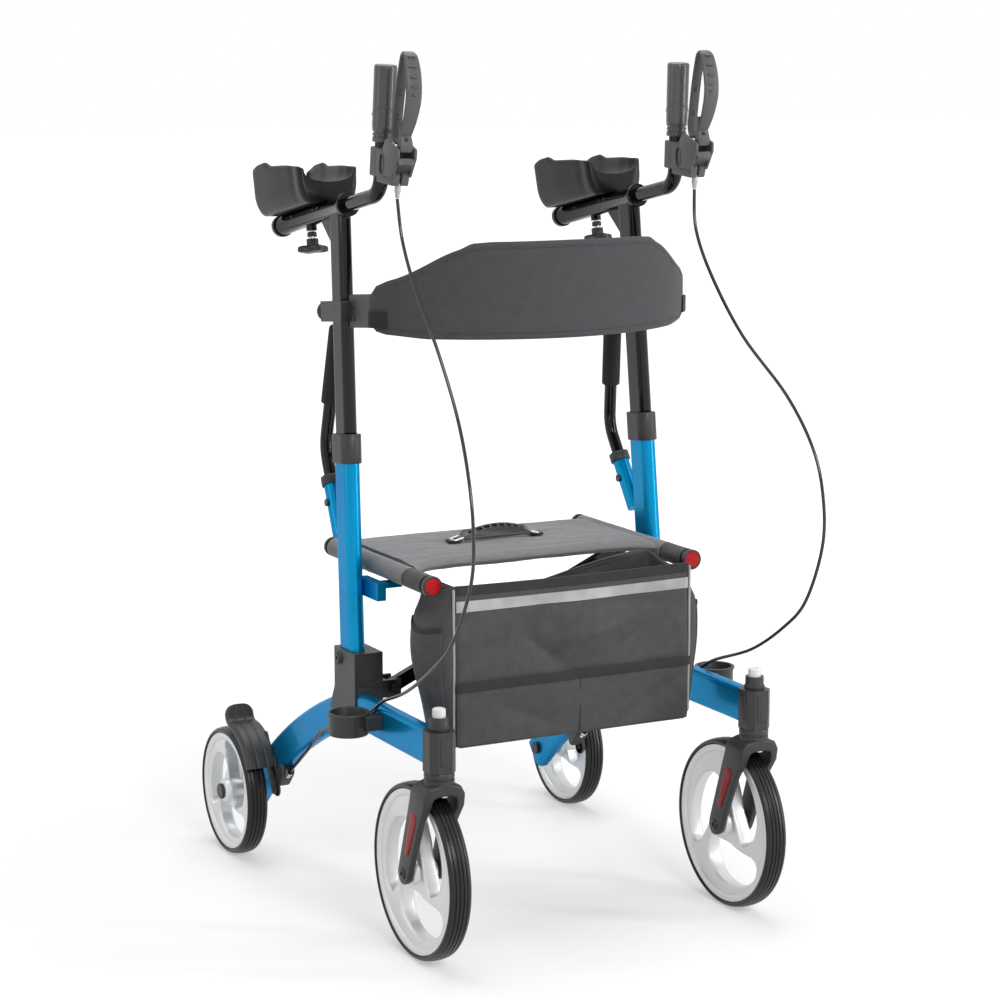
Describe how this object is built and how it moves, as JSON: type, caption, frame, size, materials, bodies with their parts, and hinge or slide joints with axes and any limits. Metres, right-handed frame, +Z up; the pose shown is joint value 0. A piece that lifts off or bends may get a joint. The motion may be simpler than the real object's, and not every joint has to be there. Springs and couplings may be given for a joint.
{
  "type": "upright walker",
  "caption": "Side-folding upright walker with forearm troughs, loop brake levers, padded sling seat, bag, back band, caster forks and rear fenders.",
  "frame": {"origin": "on the floor, in the middle of the wheels' footprint", "axes": "+X to the walker's left, -Y to its front, +Z up"},
  "size_m": [0.676, 0.8928, 1.2635],
  "materials": {
    "frame": "satin",
    "black_tube": "gloss",
    "black_plastic": "satin",
    "grey_plastic": "matte",
    "pad": "satin",
    "grip": "matte",
    "steel": "satin",
    "rim": "satin",
    "tyre": "matte",
    "button": "gloss",
    "seat_cloth": "matte",
    "bag_cloth": "matte",
    "band_cloth": "matte",
    "cable": "satin"
  },
  "bodies": {
    "side_right": {"lower_rail_right": "frame", "base_hub_right": "black_plastic", "upright_tube_right": "frame", "frame_collars_right": "black_plastic", "caster_housing_right": "black_plastic", "cane_holder_right": "black_plastic", "fender_right": "black_plastic", "push_handle_right": "black_tube", "push_grip_right": "grip", "side_bolts_right": "steel", "brake_cable_right": "cable"},
    "side_left": {"lower_rail_left": "frame", "base_hub_left": "black_plastic", "upright_tube_left": "frame", "frame_collars_left": "black_plastic", "caster_housing_left": "black_plastic", "cane_holder_left": "black_plastic", "fender_left": "black_plastic", "push_handle_left": "black_tube", "push_grip_left": "grip", "side_bolts_left": "steel", "brake_cable_left": "cable"},
    "brace_a": {"brace_a": "black_tube"},
    "brace_b": {"brace_b": "black_tube"},
    "seat": {"seat_fabric": "seat_cloth", "carry_handle": "grey_plastic", "bag": "bag_cloth"},
    "post_right": {"arm_post_right": "black_tube", "arm_pad_right": "pad"},
    "handle_right": {"handle_tube_right": "black_tube", "hand_grip_right": "grip", "lever_bracket_right": "grey_plastic"},
    "lever_right": {"brake_lever_right": "grey_plastic"},
    "armknob_right": {"arm_knob_right": "black_plastic"},
    "clamp_right": {"back_clamp_right": "black_plastic", "back_band": "band_cloth"},
    "backknob_right": {"back_knob_right": "black_plastic"},
    "caster_right": {"caster_fork_right": "black_plastic"},
    "front_wheel_right": {"front_rim_right": "rim", "front_tyre_right": "tyre"},
    "rear_wheel_right": {"rear_rim_right": "rim", "rear_tyre_right": "tyre"},
    "button_right": {"release_button_right": "button"},
    "shoe_right": {"brake_arm_right": "black_plastic"},
    "post_left": {"arm_post_left": "black_tube", "arm_pad_left": "pad"},
    "handle_left": {"handle_tube_left": "black_tube", "hand_grip_left": "grip", "lever_bracket_left": "grey_plastic"},
    "lever_left": {"brake_lever_left": "grey_plastic"},
    "armknob_left": {"arm_knob_left": "black_plastic"},
    "clamp_left": {"back_clamp_left": "black_plastic"},
    "backknob_left": {"back_knob_left": "black_plastic"},
    "caster_left": {"caster_fork_left": "black_plastic"},
    "front_wheel_left": {"front_rim_left": "rim", "front_tyre_left": "tyre"},
    "rear_wheel_left": {"rear_rim_left": "rim", "rear_tyre_left": "tyre"},
    "button_left": {"release_button_left": "button"},
    "shoe_left": {"brake_arm_left": "black_plastic"}
  },
  "joints": [
    {"name": "fold", "type": "hinge", "parent": "side_right", "child": "brace_a", "pos_m": [-0.196, -0.047, 0.3368], "axis": [0, -1, 0], "range_deg": [0, 50.8], "deforming": ["seat_fabric", "carry_handle", "bag", "back_band"]},
    {"name": "brace_cross", "type": "hinge", "parent": "brace_a", "child": "brace_b", "pos_m": [0, -0.047, 0.42484], "axis": [0, -1, 0], "range_deg": [-101.7, 0]},
    {"name": "fold_left", "type": "hinge", "parent": "brace_b", "child": "side_left", "pos_m": [0.196, -0.047, 0.3368], "axis": [0, -1, 0], "range_deg": [0, 50.9]},
    {"name": "seat_level", "type": "hinge", "parent": "brace_b", "child": "seat", "pos_m": [-0.2136, -0.06, 0.5208], "axis": [0, -1, 0], "range_deg": [0, 50.9]},
    {"name": "post_height_right", "type": "slide", "parent": "side_right", "child": "post_right", "axis": [0.0217, 0.0924, 0.9955], "range_m": [0, 0.12], "deforming": ["brake_cable_right"]},
    {"name": "handle_reach_right", "type": "slide", "parent": "post_right", "child": "handle_right", "axis": [0.0041, -0.982, 0.1891], "range_m": [-0.03, 0.05], "deforming": ["brake_cable_right"]},
    {"name": "lever_squeeze_right", "type": "hinge", "parent": "handle_right", "child": "lever_right", "pos_m": [-0.23914, -0.20478, 1.13337], "axis": [-0.9998, 0, 0.0218], "range_deg": [0, 12], "stiffness_Nm_per_rad": 1, "springref_deg": -3.44},
    {"name": "arm_knob_turn_right", "type": "hinge", "parent": "post_right", "child": "armknob_right", "pos_m": [-0.24251, 0.10706, 0.97903], "axis": [0.0214, 0.1891, 0.9817], "continuous": true},
    {"name": "back_height_right", "type": "slide", "parent": "post_right", "child": "clamp_right", "axis": [0.0217, 0.0924, 0.9955], "range_m": [0, 0.06]},
    {"name": "back_knob_turn_right", "type": "hinge", "parent": "clamp_right", "child": "backknob_right", "pos_m": [-0.24453, 0.0397, 0.88613], "axis": [-0.002, 0.9957, -0.0923], "continuous": true},
    {"name": "caster_swivel_right", "type": "hinge", "parent": "side_right", "child": "caster_right", "pos_m": [-0.257, -0.33875, 0.2858], "axis": [0, 0, 1], "continuous": true},
    {"name": "front_spin_right", "type": "hinge", "parent": "caster_right", "child": "front_wheel_right", "pos_m": [-0.257, -0.28175, 0.127], "axis": [1, 0, 0], "continuous": true},
    {"name": "rear_spin_right", "type": "hinge", "parent": "side_right", "child": "rear_wheel_right", "pos_m": [-0.302, 0.30725, 0.1015], "axis": [1, 0, 0], "continuous": true},
    {"name": "button_press_right", "type": "slide", "parent": "side_right", "child": "button_right", "axis": [0, 0, -1], "range_m": [0, 0.003], "stiffness_N_per_m": 400, "springref_m": -0.002},
    {"name": "brake_press_right", "type": "hinge", "parent": "side_right", "child": "shoe_right", "pos_m": [-0.2693, 0.20625, 0.124], "axis": [-1, 0, 0], "range_deg": [0, 2.41]},
    {"name": "post_height_left", "type": "slide", "parent": "side_left", "child": "post_left", "axis": [-0.0217, 0.0924, 0.9955], "range_m": [0, 0.12], "deforming": ["brake_cable_left"]},
    {"name": "handle_reach_left", "type": "slide", "parent": "post_left", "child": "handle_left", "axis": [-0.0041, -0.982, 0.1891], "range_m": [-0.03, 0.05], "deforming": ["brake_cable_left"]},
    {"name": "lever_squeeze_left", "type": "hinge", "parent": "handle_left", "child": "lever_left", "pos_m": [0.23914, -0.20478, 1.13337], "axis": [-0.9998, 0, -0.0218], "range_deg": [0, 12], "stiffness_Nm_per_rad": 1, "springref_deg": -3.44},
    {"name": "arm_knob_turn_left", "type": "hinge", "parent": "post_left", "child": "armknob_left", "pos_m": [0.24251, 0.10706, 0.97903], "axis": [-0.0214, 0.1891, 0.9817], "continuous": true},
    {"name": "back_height_left", "type": "slide", "parent": "post_left", "child": "clamp_left", "axis": [-0.0217, 0.0924, 0.9955], "range_m": [0, 0.06]},
    {"name": "back_knob_turn_left", "type": "hinge", "parent": "clamp_left", "child": "backknob_left", "pos_m": [0.24453, 0.0397, 0.88613], "axis": [0.002, 0.9957, -0.0923], "continuous": true},
    {"name": "caster_swivel_left", "type": "hinge", "parent": "side_left", "child": "caster_left", "pos_m": [0.257, -0.33875, 0.2858], "axis": [0, 0, 1], "continuous": true},
    {"name": "front_spin_left", "type": "hinge", "parent": "caster_left", "child": "front_wheel_left", "pos_m": [0.257, -0.28175, 0.127], "axis": [1, 0, 0], "continuous": true},
    {"name": "rear_spin_left", "type": "hinge", "parent": "side_left", "child": "rear_wheel_left", "pos_m": [0.302, 0.30725, 0.1015], "axis": [1, 0, 0], "continuous": true},
    {"name": "button_press_left", "type": "slide", "parent": "side_left", "child": "button_left", "axis": [0, 0, -1], "range_m": [0, 0.003], "stiffness_N_per_m": 400, "springref_m": -0.002},
    {"name": "brake_press_left", "type": "hinge", "parent": "side_left", "child": "shoe_left", "pos_m": [0.2693, 0.20625, 0.124], "axis": [-1, 0, 0], "range_deg": [0, 2.41]}
  ],
  "couplings": [
    {"joint": "brace_cross", "follows": "fold", "ratio": -2},
    {"joint": "fold_left", "follows": "fold", "ratio": 1},
    {"joint": "seat_level", "follows": "fold", "ratio": 1},
    {"joint": "brake_press_right", "follows": "lever_squeeze_right", "ratio": 0.2},
    {"joint": "brake_press_left", "follows": "lever_squeeze_left", "ratio": 0.2},
    {"joint": "post_height_left", "follows": "post_height_right", "ratio": 1},
    {"joint": "back_height_left", "follows": "back_height_right", "ratio": 1}
  ]
}
